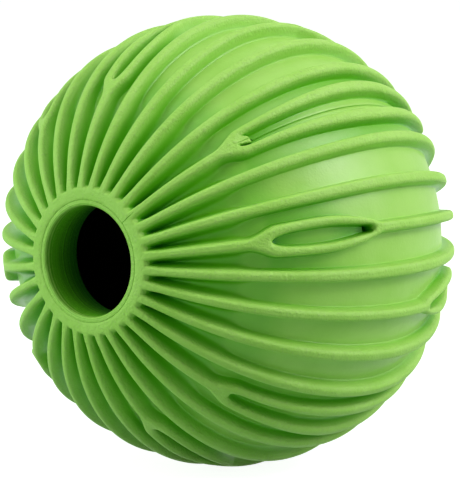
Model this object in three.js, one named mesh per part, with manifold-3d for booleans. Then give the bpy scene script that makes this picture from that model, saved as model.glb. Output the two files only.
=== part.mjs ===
// Hollow ribbed rubber ball with one round mouth, moulded as two half shells and a mouth sleeve.
// Millimetres, +Z up. The origin is the centre of the ball and the mouth faces -Y.

import * as THREE from 'three';
import { mergeVertices } from 'three/addons/utils/BufferGeometryUtils.js';
import Module from 'manifold-3d';

const wasm = await Module();
wasm.setup();

const degrees = THREE.MathUtils.degToRad;

// Ball and wall
const TIP_RADIUS = 40;
const RIB_HEIGHT = 2.3;
const WALL_THICKNESS = 6.2;

// Mouth
const MOUTH_RADIUS = 9.45;
const SLEEVE_WALL = 1;
const SLEEVE_EDGE_CHAMFER = 0.3;
const SLEEVE_CLEARANCE = 0.3;
const FACE_WIDTH = 1.4;
const GROOVE_END_LENGTH = 2.4;

// Ribs, which all run from the flat face of the mouth to the flat pad on the back and narrow towards both poles
const RIB_COUNT = 32;
const FIRST_RIB_LONGITUDE = degrees(8.5);
const RIB_WIDTH_AT_POLES = 0.8;
const RIB_WIDTH_AT_EQUATOR = 2.6;
const FLANK_WIDTH = 0.3;
const CREST_ROUNDING = 0.5;
const NARROWEST_GROOVE = 0.3;

// Split ribs, whose two legs part at a fork and join again, and so ring an almond-shaped slot
const SPLIT_PATTERN_COUNT = 8;
const SHORT_SLOT_RIB = 0;
const LONG_SLOT_RIB = 3;
const BACK_SLOT_RIB = 6;
const FORK_POLAR = degrees(46.8);
const SHORT_SLOT_END_POLAR = degrees(81.2);
const FORK_RUN = degrees(6);
const TAPER_RUN = degrees(20);
const SHORT_LEG_SPREAD = degrees(3.8);
const LONG_LEG_SPREAD = degrees(4.1);
const LEG_WIDTH = 1.9;
const TAIL_WIDTH = 1.7;
const SLOT_SHOULDER_WIDTH = 0.6;

// Bond line between the two half shells, which runs down the middle of two long slots
const PARTING_RIB = 27;
const BOND_GAP = 0.3;

// Facets
const CAVITY_SEGMENTS = 40;
const CAVITY_RINGS = 20;
const MOUTH_SEGMENTS = 64;
const GROOVE_ROWS = 3;
const FORK_ROWS = 3;
const SLOT_ROWS = 1;
const TAPER_ROWS = 4;
const CLOSEST_ROWS = degrees(1);

// Sizes that follow from the ones above
const FLOOR_RADIUS = TIP_RADIUS - RIB_HEIGHT;
const CAVITY_RADIUS = FLOOR_RADIUS - WALL_THICKNESS;
const SLEEVE_RADIUS = MOUTH_RADIUS + SLEEVE_WALL;
const NECK_RADIUS = SLEEVE_RADIUS + SLEEVE_CLEARANCE;
const RIM_POLAR = Math.asin((NECK_RADIUS + FACE_WIDTH) / TIP_RADIUS);
const RIM_DISTANCE = TIP_RADIUS * Math.cos(RIM_POLAR);
const SLEEVE_INNER_DISTANCE = Math.sqrt(CAVITY_RADIUS ** 2 - SLEEVE_RADIUS ** 2);
const GROOVE_POLAR = RIM_POLAR + GROOVE_END_LENGTH / TIP_RADIUS;
const HALF_TURN = Math.PI;
const EQUATOR = HALF_TURN / 2;
const RIB_PITCH = (2 * HALF_TURN) / RIB_COUNT;
const SLOT_WIDEST_POLAR = FORK_POLAR + FORK_RUN;
const SLOT_TAPER_POLAR = SHORT_SLOT_END_POLAR - TAPER_RUN;

// One rubber colour for all pieces, a shade darker on the sleeve
const SHELL_COLOUR = 0x8fc653;
const SLEEVE_COLOUR = 0x6fa83a;
const RUBBER_ROUGHNESS = 0.6;

function longitudeOfRib(rib) {
  return FIRST_RIB_LONGITUDE + rib * RIB_PITCH;
}

// A point from its angle off the mouth axis, its longitude and its distance from the centre
function ballPoint(polar, longitude, radius) {
  return new THREE.Vector3(
    -radius * Math.sin(polar) * Math.sin(longitude),
    -radius * Math.cos(polar),
    radius * Math.sin(polar) * Math.cos(longitude),
  );
}

// Rises steeply from 0 and levels out at 1
function easeOut(fraction) {
  return Math.sin(THREE.MathUtils.clamp(fraction, 0, 1) * EQUATOR);
}

// Half the angle between two legs that part at start and join again at end
function slotSpread(polar, spread, start, startRun, end, endRun) {
  return spread * easeOut((polar - start) / startRun) * easeOut((end - polar) / endRun);
}

// Half the angle between the two legs of a rib, which is 0 where the rib is whole
function legSpread(rib, polar) {
  const kind = rib % SPLIT_PATTERN_COUNT;
  if (kind === SHORT_SLOT_RIB) {
    return slotSpread(polar, SHORT_LEG_SPREAD, FORK_POLAR, FORK_RUN, SHORT_SLOT_END_POLAR, TAPER_RUN);
  }
  if (kind === LONG_SLOT_RIB) {
    return slotSpread(polar, LONG_LEG_SPREAD, FORK_POLAR, FORK_RUN, HALF_TURN - FORK_POLAR, FORK_RUN);
  }
  if (kind === BACK_SLOT_RIB) {
    return legSpread(SHORT_SLOT_RIB, HALF_TURN - polar);
  }
  return 0;
}

function isSplit(rib) {
  return [SHORT_SLOT_RIB, LONG_SLOT_RIB, BACK_SLOT_RIB].includes(rib % SPLIT_PATTERN_COUNT);
}

// 0 at the edges of the flat faces, 1 where the grooves have their full depth
function grooveDepth(polar) {
  const fromPole = Math.min(polar, HALF_TURN - polar);
  return fromPole > (RIM_POLAR + GROOVE_POLAR) / 2 ? 1 : 0;
}

// Keeps a foot short of the middle of the groove beside it
function footOffset(offset, polar) {
  const halfPitch = (RIB_PITCH / 2) * TIP_RADIUS * Math.sin(polar);
  return Math.min(offset, halfPitch - NARROWEST_GROOVE / 2);
}

// Half the width that is left on a crest between its two rounded edges
function halfCrest(width) {
  return width / 2 - Math.min(CREST_ROUNDING, width / 3);
}

// A rib with a short slot is a thin tail from the slot's pointed end on
function ribWidth(rib, polar) {
  const width = THREE.MathUtils.lerp(RIB_WIDTH_AT_POLES, RIB_WIDTH_AT_EQUATOR, Math.sin(polar));
  const kind = rib % SPLIT_PATTERN_COUNT;
  const isTail =
    (kind === SHORT_SLOT_RIB && polar > SLOT_TAPER_POLAR) ||
    (kind === BACK_SLOT_RIB && polar < HALF_TURN - SLOT_TAPER_POLAR);
  return isTail ? Math.min(width, TAIL_WIDTH) : width;
}

// The feet and crests of one whole rib at one polar angle, as [offset, radius] pairs
function wholeRibSection(rib, polar) {
  const width = ribWidth(rib, polar);
  const foot = footOffset(width / 2 + FLANK_WIDTH, polar);
  const crest = halfCrest(width);
  const floor = TIP_RADIUS - RIB_HEIGHT * grooveDepth(polar);
  return [[-foot, floor], [-crest, TIP_RADIUS], [crest, TIP_RADIUS], [foot, floor]];
}

// The same for a split rib, with its two legs and the slot between them, which shuts where the legs meet
function splitRibSection(rib, polar) {
  const spread = legSpread(rib, polar) * TIP_RADIUS * Math.sin(polar);
  const [, , [wholeCrest], [wholeFoot, floor]] = wholeRibSection(rib, polar);
  const legFoot = LEG_WIDTH / 2 + FLANK_WIDTH;
  const legCrest = halfCrest(LEG_WIDTH);
  const foot = footOffset(Math.max(wholeFoot, spread + legFoot), polar);
  const crest = Math.max(wholeCrest, spread + legCrest);
  const slotCrest = Math.max((wholeCrest * 2) / 3, spread - legCrest);
  const slotFoot = Math.max(wholeCrest / 3, spread - legFoot);
  const opening = THREE.MathUtils.clamp((spread - legFoot) / SLOT_SHOULDER_WIDTH, 0, 1);
  const slotFloor = TIP_RADIUS - RIB_HEIGHT * opening;
  const half = [[slotFoot, slotFloor], [slotCrest, TIP_RADIUS], [crest, TIP_RADIUS], [foot, floor]];
  const mirrored = half.map(([offset, radius]) => [-offset, radius]).reverse();
  return [...mirrored, ...half];
}

// One ring of points round the ball at one polar angle
function ribbedRing(polar) {
  const ring = [];
  for (let rib = 0; rib < RIB_COUNT; rib += 1) {
    const section = isSplit(rib) ? splitRibSection(rib, polar) : wholeRibSection(rib, polar);
    for (const [offset, radius] of section) {
      const longitude = longitudeOfRib(rib) + offset / (TIP_RADIUS * Math.sin(polar));
      ring.push(ballPoint(polar, longitude, radius));
    }
  }
  return ring;
}

// Equal steps from one angle to the next, without the last one
function evenSteps(from, to, count) {
  return Array.from({ length: count }, (_, step) => THREE.MathUtils.lerp(from, to, step / count));
}

// Polar angles of the rings from the mouth to the back, closest where ribs fork and join again
function ballRows() {
  const front = [
    RIM_POLAR,
    ...evenSteps(GROOVE_POLAR, FORK_POLAR, GROOVE_ROWS),
    ...evenSteps(FORK_POLAR, SLOT_WIDEST_POLAR, FORK_ROWS),
    ...evenSteps(SLOT_WIDEST_POLAR, SLOT_TAPER_POLAR, SLOT_ROWS),
    ...evenSteps(SLOT_TAPER_POLAR, SHORT_SLOT_END_POLAR, TAPER_ROWS),
    SHORT_SLOT_END_POLAR,
  ];
  const back = front.map((polar) => HALF_TURN - polar);
  const rows = [...front, EQUATOR, ...back].sort((one, other) => one - other);
  return rows.filter((polar, row) => row === 0 || polar - rows[row - 1] > CLOSEST_ROWS);
}

// A closed body through rings of points, with a flat cap on its first and last ring
function bodyThroughRings(rings) {
  const count = rings[0].length;
  const points = rings.flat();
  const triangles = [];
  for (let row = 0; row + 1 < rings.length; row += 1) {
    for (let column = 0; column < count; column += 1) {
      const next = (column + 1) % count;
      const [a, b] = [row * count + column, row * count + next];
      triangles.push(a, b + count, b, a, a + count, b + count);
    }
  }
  const firstCentre = points.push(new THREE.Vector3(0, rings[0][0].y, 0)) - 1;
  const lastCentre = points.push(new THREE.Vector3(0, rings.at(-1)[0].y, 0)) - 1;
  const lastRow = (rings.length - 1) * count;
  for (let column = 0; column < count; column += 1) {
    const next = (column + 1) % count;
    triangles.push(firstCentre, column, next);
    triangles.push(lastCentre, lastRow + next, lastRow + column);
  }
  const geometry = new THREE.BufferGeometry().setFromPoints(points);
  geometry.setIndex(triangles);
  return geometry;
}

function toSolid(geometry) {
  const bare = geometry.clone();
  bare.deleteAttribute('normal');
  bare.deleteAttribute('uv');
  const merged = mergeVertices(bare);
  return new wasm.Manifold(new wasm.Mesh({
    numProp: 3,
    vertProperties: new Float32Array(merged.attributes.position.array),
    triVerts: new Uint32Array(merged.index.array),
  }));
}

function toGeometry(solid) {
  const { vertProperties, triVerts } = solid.getMesh();
  const geometry = new THREE.BufferGeometry();
  geometry.setAttribute('position', new THREE.BufferAttribute(vertProperties, 3));
  geometry.setIndex(new THREE.BufferAttribute(triVerts, 1));
  geometry.computeVertexNormals();
  return geometry;
}

// The whole ribbed wall, hollow, with the neck that the sleeve fits
function ribbedShell() {
  const outside = bodyThroughRings(ballRows().map(ribbedRing));
  const cavity = new THREE.SphereGeometry(CAVITY_RADIUS, CAVITY_SEGMENTS, CAVITY_RINGS);
  const neck = new THREE.CylinderGeometry(NECK_RADIUS, NECK_RADIUS, 2 * TIP_RADIUS, MOUTH_SEGMENTS);
  neck.translate(0, -TIP_RADIUS, 0);
  return toSolid(outside).subtract(toSolid(cavity)).subtract(toSolid(neck));
}

// The side of the bond line that a half shell keeps: side is 1 for the upper half, -1 for the lower
function partingBlock(side) {
  const reach = 3 * TIP_RADIUS;
  const block = new THREE.BoxGeometry(reach, reach, reach);
  block.translate(0, 0, side * (reach + BOND_GAP) / 2);
  block.rotateY(-(longitudeOfRib(PARTING_RIB) + EQUATOR));
  return toSolid(block);
}

function halfShell(shell, side) {
  return toGeometry(shell.intersect(partingBlock(side)));
}

// A ring that lines the mouth, flush with the flat face outside and with the cavity inside
function mouthSleeve() {
  const chamfer = Math.min(SLEEVE_EDGE_CHAMFER, SLEEVE_WALL / 2);
  const profile = [
    new THREE.Vector2(MOUTH_RADIUS, -SLEEVE_INNER_DISTANCE),
    new THREE.Vector2(MOUTH_RADIUS, -RIM_DISTANCE + chamfer),
    new THREE.Vector2(MOUTH_RADIUS + chamfer, -RIM_DISTANCE),
    new THREE.Vector2(SLEEVE_RADIUS, -RIM_DISTANCE),
    new THREE.Vector2(SLEEVE_RADIUS, -SLEEVE_INNER_DISTANCE),
    new THREE.Vector2(MOUTH_RADIUS, -SLEEVE_INNER_DISTANCE),
  ];
  return new THREE.LatheGeometry(profile, MOUTH_SEGMENTS);
}

function rubberPiece(name, geometry, color) {
  const material = new THREE.MeshStandardMaterial({ color, roughness: RUBBER_ROUGHNESS, metalness: 0 });
  const piece = new THREE.Mesh(geometry, material);
  piece.name = name;
  return piece;
}

const shell = ribbedShell();
const ball = new THREE.Group();
ball.add(rubberPiece('upper_half_shell', halfShell(shell, 1), SHELL_COLOUR));
ball.add(rubberPiece('lower_half_shell', halfShell(shell, -1), SHELL_COLOUR));
ball.add(rubberPiece('mouth_sleeve', mouthSleeve(), SLEEVE_COLOUR));

export default ball;
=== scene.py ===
import logging
import math
from dataclasses import dataclass, field
from enum import Enum

import bpy
import numpy as np
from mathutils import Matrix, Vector


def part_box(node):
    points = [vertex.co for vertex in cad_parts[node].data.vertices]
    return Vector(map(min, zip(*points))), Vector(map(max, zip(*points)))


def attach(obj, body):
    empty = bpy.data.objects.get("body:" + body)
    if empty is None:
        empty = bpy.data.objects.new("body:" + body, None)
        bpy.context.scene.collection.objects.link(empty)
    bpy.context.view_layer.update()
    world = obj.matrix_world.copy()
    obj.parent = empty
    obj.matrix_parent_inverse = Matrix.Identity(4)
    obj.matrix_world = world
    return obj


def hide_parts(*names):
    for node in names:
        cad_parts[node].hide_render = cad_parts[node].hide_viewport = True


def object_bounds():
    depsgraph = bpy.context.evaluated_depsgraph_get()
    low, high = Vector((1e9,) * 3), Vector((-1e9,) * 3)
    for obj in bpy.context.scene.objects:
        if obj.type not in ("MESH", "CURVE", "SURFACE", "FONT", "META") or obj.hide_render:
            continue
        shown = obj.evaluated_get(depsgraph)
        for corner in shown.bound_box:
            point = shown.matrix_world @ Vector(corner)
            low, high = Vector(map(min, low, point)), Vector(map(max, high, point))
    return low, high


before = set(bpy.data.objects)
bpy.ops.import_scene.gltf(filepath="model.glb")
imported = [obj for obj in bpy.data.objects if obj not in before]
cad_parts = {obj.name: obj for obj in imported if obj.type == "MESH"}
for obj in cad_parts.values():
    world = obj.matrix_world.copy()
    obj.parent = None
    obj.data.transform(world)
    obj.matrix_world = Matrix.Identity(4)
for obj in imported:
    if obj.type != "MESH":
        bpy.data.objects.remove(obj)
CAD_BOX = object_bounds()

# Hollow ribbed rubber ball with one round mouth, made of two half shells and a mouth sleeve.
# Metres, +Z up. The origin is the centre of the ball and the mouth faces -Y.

MM = 0.001
DEGREE = math.pi / 180
BAKE_MAP = "OFBake"
# Point attribute that sets how much shade is painted into the rubber's colour.
OPENNESS = "openness"
BODY = "root"
# Gap that the two halves keep at the parting plane.
SEAM_GAP = 0.002 * MM
# Least way between two columns that a slope is worked out over.
SHORTEST_RUN = 0.001 * MM
# How open a steep wall counts beside level rubber with the same sky above it, which paints more shade on the
# flanks.
STEEP_WALL_OPENNESS = 0.55
# Slack that keeps a whole number of steps from being rounded up.
STEP_SLACK = 1e-6

log = logging.getLogger("ribbed_ball")


def ease(start: float, end: float, value: np.ndarray) -> np.ndarray:
    """Rises smoothly from 0 at start to 1 at end.

    Args:
        start: Value at which the result leaves 0.
        end: Value at which the result reaches 1.
        value: Values to ease, of any shape.

    Returns:
        An array of the same shape.
    """
    share = np.clip((value - start) / (end - start), 0, 1)
    return share * share * (3 - 2 * share)


def mix(low: np.ndarray, high: np.ndarray, share: np.ndarray) -> np.ndarray:
    """Gives low where share is 0 and high where it is 1."""
    return low + (high - low) * share


def soft_min(one: np.ndarray, other: np.ndarray, rounding: np.ndarray) -> np.ndarray:
    """Gives the lesser of two depths, with the crease between them rounded.

    Args:
        one: Depths in metres.
        other: Depths in metres.
        rounding: How far apart the two may be and still round the crease, in metres.

    Returns:
        The lesser depths, in metres.
    """
    near = np.maximum(rounding - np.abs(one - other), 0) / rounding
    return np.minimum(one, other) - near * near * rounding / 4


def open_share(place: np.ndarray, depth: np.ndarray, reach: int) -> np.ndarray:
    """Gives how much of the sky each point of a relief sees past its neighbours in the same row, for the
    shade painted into its colour.

    Args:
        place: Way along the row, in metres, rows by columns.
        depth: Depth under the crests, in metres, rows by columns.
        reach: Number of columns to look past on each side.

    Returns:
        Shares from 0 to 1, rows by columns.
    """
    seen = np.zeros_like(depth)
    for turn in (1, -1):
        way, deep = turn * place[:, ::turn], depth[:, ::turn]
        horizon = np.zeros_like(deep)
        for step in range(1, reach + 1):
            run = np.maximum(way[:, step:] - way[:, :-step], SHORTEST_RUN)
            rise = (deep[:, step:] - deep[:, :-step]) / run
            horizon[:, step:] = np.maximum(horizon[:, step:], rise)
        seen += (1 - horizon / np.hypot(1, horizon))[:, ::turn] / 2
    slope = np.gradient(depth, axis=1) / np.maximum(np.gradient(place, axis=1), SHORTEST_RUN)
    return seen * mix(STEEP_WALL_OPENNESS, 1, 1 / np.hypot(1, slope))


@dataclass(frozen=True)
class BallSizes:
    """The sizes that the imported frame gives."""

    tip_radius: float
    rim_y: float
    back_y: float
    sleeve_radius: float
    sleeve_inner_y: float
    cavity_radius: float

    @classmethod
    def from_frame(cls) -> "BallSizes":
        """Reads the sizes off the whole object's box and the mouth sleeve's box.

        Returns:
            The sizes, in metres.
        """
        low, high = CAD_BOX
        sleeve_low, sleeve_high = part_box("mouth_sleeve")
        sleeve_radius = (sleeve_high.x - sleeve_low.x) / 2
        return cls(
            tip_radius=(high.z - low.z) / 2 - SEAM_GAP,
            rim_y=low.y,
            back_y=high.y,
            sleeve_radius=sleeve_radius,
            sleeve_inner_y=sleeve_high.y,
            cavity_radius=math.hypot(sleeve_radius, sleeve_high.y),
        )


class RibKind(Enum):
    """What runs down the middle of a rib."""

    WHOLE = "no slot"
    SHORT_SLOT = "almond slot between the mouth and the equator"
    LONG_SLOT = "long slot across the equator"
    BACK_SLOT = "almond slot between the equator and the back"

    @property
    def is_short(self) -> bool:
        """Says whether the slot is an almond-shaped one."""
        return self in (RibKind.SHORT_SLOT, RibKind.BACK_SLOT)


@dataclass(frozen=True)
class RibPattern:
    """Where the ribs run and how wide they are. Polar angles are measured from the mouth's axis."""

    # Squared half width that stands for no slot.
    NO_SLOT = -1.0

    tip_radius: float

    # All ribs. The kinds repeat round the ball, and the parting plane cuts the two parting ribs.
    count: int = 32
    first_longitude: float = 8.5 * DEGREE
    kinds: tuple = (
        RibKind.SHORT_SLOT,
        RibKind.WHOLE,
        RibKind.WHOLE,
        RibKind.LONG_SLOT,
        RibKind.WHOLE,
        RibKind.WHOLE,
        RibKind.BACK_SLOT,
        RibKind.WHOLE,
    )
    parting_ribs: tuple = (11, 27)
    half_width_at_poles: float = 0.66 * MM
    half_width_at_equator: float = 1.34 * MM

    # Where a split rib forks, and where its slot starts.
    fork_start: float = 43.2 * DEGREE
    fork_end: float = 51.2 * DEGREE
    slot_start: float = 49.6 * DEGREE

    # Ribs with an almond slot: their spread, and the tail that the legs join in.
    short_spread: float = 5.5 * DEGREE
    tail_half_width: float = 1.2 * MM
    short_join_start: float = 60 * DEGREE
    short_join_end: float = 80.3 * DEGREE

    # The almond slot itself.
    short_slot_end: float = 77.6 * DEGREE
    short_slot_half: float = 2.5 * DEGREE
    short_slot_half_at_end: float = 1.0 * DEGREE
    short_narrowing_start: float = 63 * DEGREE
    short_narrowing_end: float = 80 * DEGREE
    short_blunt_run: float = 10 * DEGREE
    short_end_run: float = 1.4 * DEGREE
    blunt_power: float = 2.3
    end_power: float = 2.0

    # Ribs with a long slot, and the slot itself.
    long_spread_at_fork: float = 5.1 * DEGREE
    long_spread_at_equator: float = 6.4 * DEGREE
    long_spread_start: float = 52 * DEGREE
    long_slot_half_at_fork: float = 2.15 * DEGREE
    long_slot_half_at_equator: float = 2.65 * DEGREE
    long_blunt_run: float = 5 * DEGREE

    # The slight sway of the ribs, the same on each run.
    sway_width: float = 0.07 * MM
    sway_waves: tuple = (3, 7)
    second_wave_share: float = 0.6
    sway_seed: int = 7
    sway_phases: np.ndarray = field(init=False, repr=False, compare=False, default=None)

    def __post_init__(self) -> None:
        """Draws the phases of each rib's slight sway."""
        phases = np.random.default_rng(self.sway_seed).uniform(0, 2 * math.pi, (self.count, 2))
        object.__setattr__(self, "sway_phases", phases)

    @property
    def pitch(self) -> float:
        """The angle between the centre lines of two ribs."""
        return 2 * math.pi / self.count

    def kind(self, rib: int) -> RibKind:
        """Says what runs down the middle of a rib."""
        return self.kinds[rib % len(self.kinds)]

    def from_slot_pole(self, rib: int, polar: np.ndarray) -> np.ndarray:
        """Measures polar angles from the pole that a rib's slot starts at, or from the nearer one of two.

        Args:
            rib: The rib's number.
            polar: Polar angles from the mouth's axis.

        Returns:
            Polar angles from that pole.
        """
        kind = self.kind(rib)
        if kind is RibKind.LONG_SLOT:
            return np.minimum(polar, math.pi - polar)
        return math.pi - polar if kind is RibKind.BACK_SLOT else polar

    def across(self, polar: np.ndarray) -> np.ndarray:
        """Gives the metres along the crests for each radian of longitude."""
        return self.tip_radius * np.sin(polar)

    def sway(self, rib: int, polar: np.ndarray) -> np.ndarray:
        """Gives how far a rib's centre line strays from its longitude.

        Args:
            rib: The rib's number, which may run past the count.
            polar: Polar angles.

        Returns:
            Angles of longitude.
        """
        if rib % self.count in self.parting_ribs:
            return np.zeros_like(polar)
        first, second = self.sway_phases[rib % self.count]
        slow, quick = self.sway_waves
        wave = np.sin(slow * polar + first) + self.second_wave_share * np.sin(quick * polar + second)
        return self.sway_width * wave / self.tip_radius

    def whole_half(self, polar: np.ndarray) -> np.ndarray:
        """Gives a whole rib's half width at its foot, as an angle of longitude."""
        width = mix(self.half_width_at_poles, self.half_width_at_equator, np.sin(polar))
        return width / self.across(polar)

    def outer_half(self, rib: int, polar: np.ndarray) -> np.ndarray:
        """Gives half the width of a rib at its feet, slot and both legs included.

        Args:
            rib: The rib's number, which may run past the count.
            polar: Polar angles.

        Returns:
            Angles of longitude.
        """
        near = self.from_slot_pole(rib, polar)
        if self.kind(rib).is_short:
            return self.outer_short(near)
        if self.kind(rib) is RibKind.LONG_SLOT:
            widest = ease(self.long_spread_start, math.pi / 2, near)
            spread = mix(self.long_spread_at_fork, self.long_spread_at_equator, widest)
            return mix(self.whole_half(polar), spread, ease(self.fork_start, self.fork_end, near))
        return self.whole_half(polar)

    def outer_short(self, polar: np.ndarray) -> np.ndarray:
        """Gives half the width of a rib with an almond slot, both legs included.

        Args:
            polar: Polar angles from the pole that the slot starts at.

        Returns:
            Angles of longitude.
        """
        whole = self.whole_half(polar)
        tail = np.minimum(whole, self.tail_half_width / self.across(polar))
        forked = mix(whole, self.short_spread, ease(self.fork_start, self.fork_end, polar))
        way = (polar - self.short_join_start) / (self.short_join_end - self.short_join_start)
        return mix(forked, tail, np.clip(way, 0, 1) ** 2)

    def slot_square(self, rib: int, polar: np.ndarray) -> np.ndarray:
        """Gives the square of a slot's half width, which runs on below 0 past the slot's ends.

        Args:
            rib: The rib's number.
            polar: Polar angles.

        Returns:
            Squared angles of longitude.
        """
        near = self.from_slot_pole(rib, polar)
        if self.kind(rib).is_short:
            return self.short_slot_square(near)
        if self.kind(rib) is RibKind.LONG_SLOT:
            widest = ease(self.fork_end, math.pi / 2, near)
            half = mix(self.long_slot_half_at_fork, self.long_slot_half_at_equator, widest)
            blunt = self.rounded_end((near - self.slot_start) / self.long_blunt_run, self.blunt_power)
            return half**2 * blunt
        return np.full_like(polar, self.NO_SLOT)

    def short_slot_square(self, polar: np.ndarray) -> np.ndarray:
        """Gives the squared half width of an almond slot, broad at its start and narrow at its round end.

        Args:
            polar: Polar angles from the pole that the slot starts at.

        Returns:
            Squared angles of longitude, below 0 past the slot's ends.
        """
        narrowed = ease(self.short_narrowing_start, self.short_narrowing_end, polar)
        half = mix(self.short_slot_half, self.short_slot_half_at_end, narrowed)
        blunt = self.rounded_end((polar - self.slot_start) / self.short_blunt_run, self.blunt_power)
        closing = self.rounded_end((self.short_slot_end - polar) / self.short_end_run, self.end_power)
        return half**2 * np.where(blunt < 0, blunt, np.where(closing < 0, closing, blunt * closing))

    @staticmethod
    def rounded_end(share: np.ndarray, power: float) -> np.ndarray:
        """Rises from 0 at a slot's end to 1, and runs straight on below 0 outside it."""
        inside = np.clip(share, 0, 1)
        return np.where(share < 0, power * share, 1 - (1 - inside) ** power)


@dataclass(frozen=True)
class BallRelief:
    """How deep the moulded surface lies under the crests at each place."""

    pattern: RibPattern

    # Grooves between the ribs. They are deeper near the mouth and steeper past the kink in their walls.
    rib_height: float = 2.3 * MM
    mouth_groove_extra: float = 0.6 * MM
    kink_start: float = 40 * DEGREE
    kink_end: float = 47 * DEGREE
    slope_at_mouth: float = 3.2
    slope_at_equator: float = 5.2
    flank_run: float = 0.3 * MM

    # How a groove's floor and its rounded tip start at the collar round the mouth.
    collar_polar: float = 17.9 * DEGREE
    scoop_length: float = 1.9 * MM
    tip_share: float = 0.7
    tip_length: float = 3.5 * MM

    # Rounded edges of the crests, and rounded feet of the walls.
    edge_at_mouth: float = 0.5 * MM
    edge_at_equator: float = 0.75 * MM
    edge_start: float = 22 * DEGREE
    edge_end: float = 60 * DEGREE
    leg_edge_share: float = 0.45
    foot_at_mouth: float = 1.0 * MM
    foot_at_equator: float = 0.3 * MM

    # Floors of the slots: ramps round the slot's start, and the pocket at the end of an almond slot.
    long_slot_ramp: tuple = (-0.5 * DEGREE, 2.4 * DEGREE)
    short_slot_ramp: tuple = (-1 * DEGREE, 1 * DEGREE)
    pocket_start: float = 75.9 * DEGREE
    pocket_depth: float = 2.6 * MM
    pocket_slope: float = 6.0

    # The tongue in the slots at the parting plane.
    tongue_start: float = 49.8 * DEGREE
    tongue_end: float = 53.2 * DEGREE
    tongue_edge_at_start: float = 0.25 * MM
    tongue_edge_at_end: float = 0.8 * MM
    tongue_top_at_start: float = 1.8 * MM
    tongue_top_at_end: float = 0.4 * MM
    tongue_depth_at_start: float = 0.1 * MM
    tongue_depth_at_end: float = 0.5 * MM
    tongue_rounding: float = 0.3 * MM

    # Bounds that keep the sums sound where a floor, a leg or a slope runs out.
    least_floor: float = 0.01 * MM
    least_leg: float = 0.4 * MM
    least_steepness: float = 1e-9
    slope_step: float = 0.01 * DEGREE

    # The notch of the parting line.
    face_seam_end: float = 1.1 * collar_polar
    seam_half_width: float = 0.1 * MM
    seam_depth_on_crest: float = 0.015 * MM
    seam_depth_on_face: float = 0.15 * MM
    seam_depth_in_slot: float = 0.15 * MM

    def wall(self, inside: np.ndarray, edge: np.ndarray, slope: np.ndarray) -> np.ndarray:
        """Gives the depth of a wall that starts level, rounds over an edge and then runs down straight.

        Args:
            inside: Distance past the edge into the cut, in metres, below 0 outside it.
            edge: Radius of the rounded edge, in metres.
            slope: Depth that the straight wall gains for each metre.

        Returns:
            Depths in metres.
        """
        lean = slope / np.hypot(1, slope)
        arc_end = -edge * (1 - lean)
        arc = edge - np.sqrt(np.maximum(edge**2 - np.clip(inside + edge, 0, edge * lean) ** 2, 0))
        arc_depth = edge * (1 - 1 / np.hypot(1, slope))
        return np.where(inside > arc_end, arc_depth + slope * (inside - arc_end), arc)

    def edge(self, polar: np.ndarray) -> np.ndarray:
        """Gives the radius of the rounded edges of the ribs."""
        near = np.minimum(polar, math.pi - polar)
        return mix(self.edge_at_mouth, self.edge_at_equator, ease(self.edge_start, self.edge_end, near))

    def own_top(self, rib: int, polar: np.ndarray) -> np.ndarray:
        """Gives where the groove beside a rib starts, as an angle from the rib's centre line."""
        return self.pattern.outer_half(rib, polar) - self.flank_run / self.pattern.across(polar)

    def groove(self, rib: int, side: int, polar: np.ndarray) -> tuple[np.ndarray, np.ndarray]:
        """Finds the groove on one side of a rib.

        Args:
            rib: The rib's number.
            side: 1 for the side of rising longitude, -1 for the other.
            polar: Polar angles.

        Returns:
            Where the groove starts and where its middle is, in metres from the rib's centre line.
        """
        pattern = self.pattern
        sway = side * (pattern.sway(rib + side, polar) - pattern.sway(rib, polar))
        start = self.own_top(rib, polar)
        end = pattern.pitch + sway - self.own_top(rib + side, polar)
        middle = (start + end) / 2
        near = np.minimum(polar, math.pi - polar)
        tip = (near - self.collar_polar) * pattern.tip_radius / self.tip_length
        opened = mix(self.tip_share, 1, ease(0, 1, tip))
        return (middle - (middle - start) * opened) * pattern.across(polar), middle * pattern.across(polar)

    def groove_depth(self, rib: int, side: int, polar: np.ndarray, offset: np.ndarray) -> np.ndarray:
        """Gives the depth of the groove on one side of a rib.

        Args:
            rib: The rib's number.
            side: 1 for the side of rising longitude, -1 for the other.
            polar: Polar angles, one for each row.
            offset: Distance from the rib's centre line, in metres, rows by columns.

        Returns:
            Depths in metres, rows by columns.
        """
        near = np.minimum(polar, math.pi - polar)
        start, middle = self.groove(rib, side, polar)
        step = self.slope_step
        turn = (self.own_top(rib, polar + step) - self.own_top(rib, polar - step)) / (2 * step)
        straighten = 1 / np.hypot(1, turn * np.sin(polar))
        along = (near - self.collar_polar) * self.pattern.tip_radius
        half = (middle - start)[:, None]
        ahead = np.maximum(half - along[:, None], 0)
        rounded = half - np.hypot(middle[:, None] - offset, ahead)
        straight = (offset - start[:, None]) * straighten[:, None]
        inside = np.where(ahead > 0, rounded, straight)
        past_kink = ease(self.kink_start, self.kink_end, near)
        floor = self.rib_height + self.mouth_groove_extra * (1 - past_kink)
        floor = floor * ease(0, self.scoop_length, along)
        foot = mix(self.foot_at_mouth, self.foot_at_equator, past_kink)
        foot = np.minimum(foot, np.maximum(floor, self.least_floor))
        slope = mix(self.slope_at_mouth, self.slope_at_equator, past_kink)
        wall = self.wall(inside, self.edge(polar)[:, None], slope[:, None])
        return np.maximum(soft_min(floor[:, None], wall, foot[:, None]), 0)

    def slot_half(self, rib: int, polar: np.ndarray) -> np.ndarray:
        """Gives a slot's half width in metres, and 0 where there is none."""
        square = np.maximum(self.pattern.slot_square(rib, polar), 0)
        return np.sqrt(square) * self.pattern.across(polar)

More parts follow.
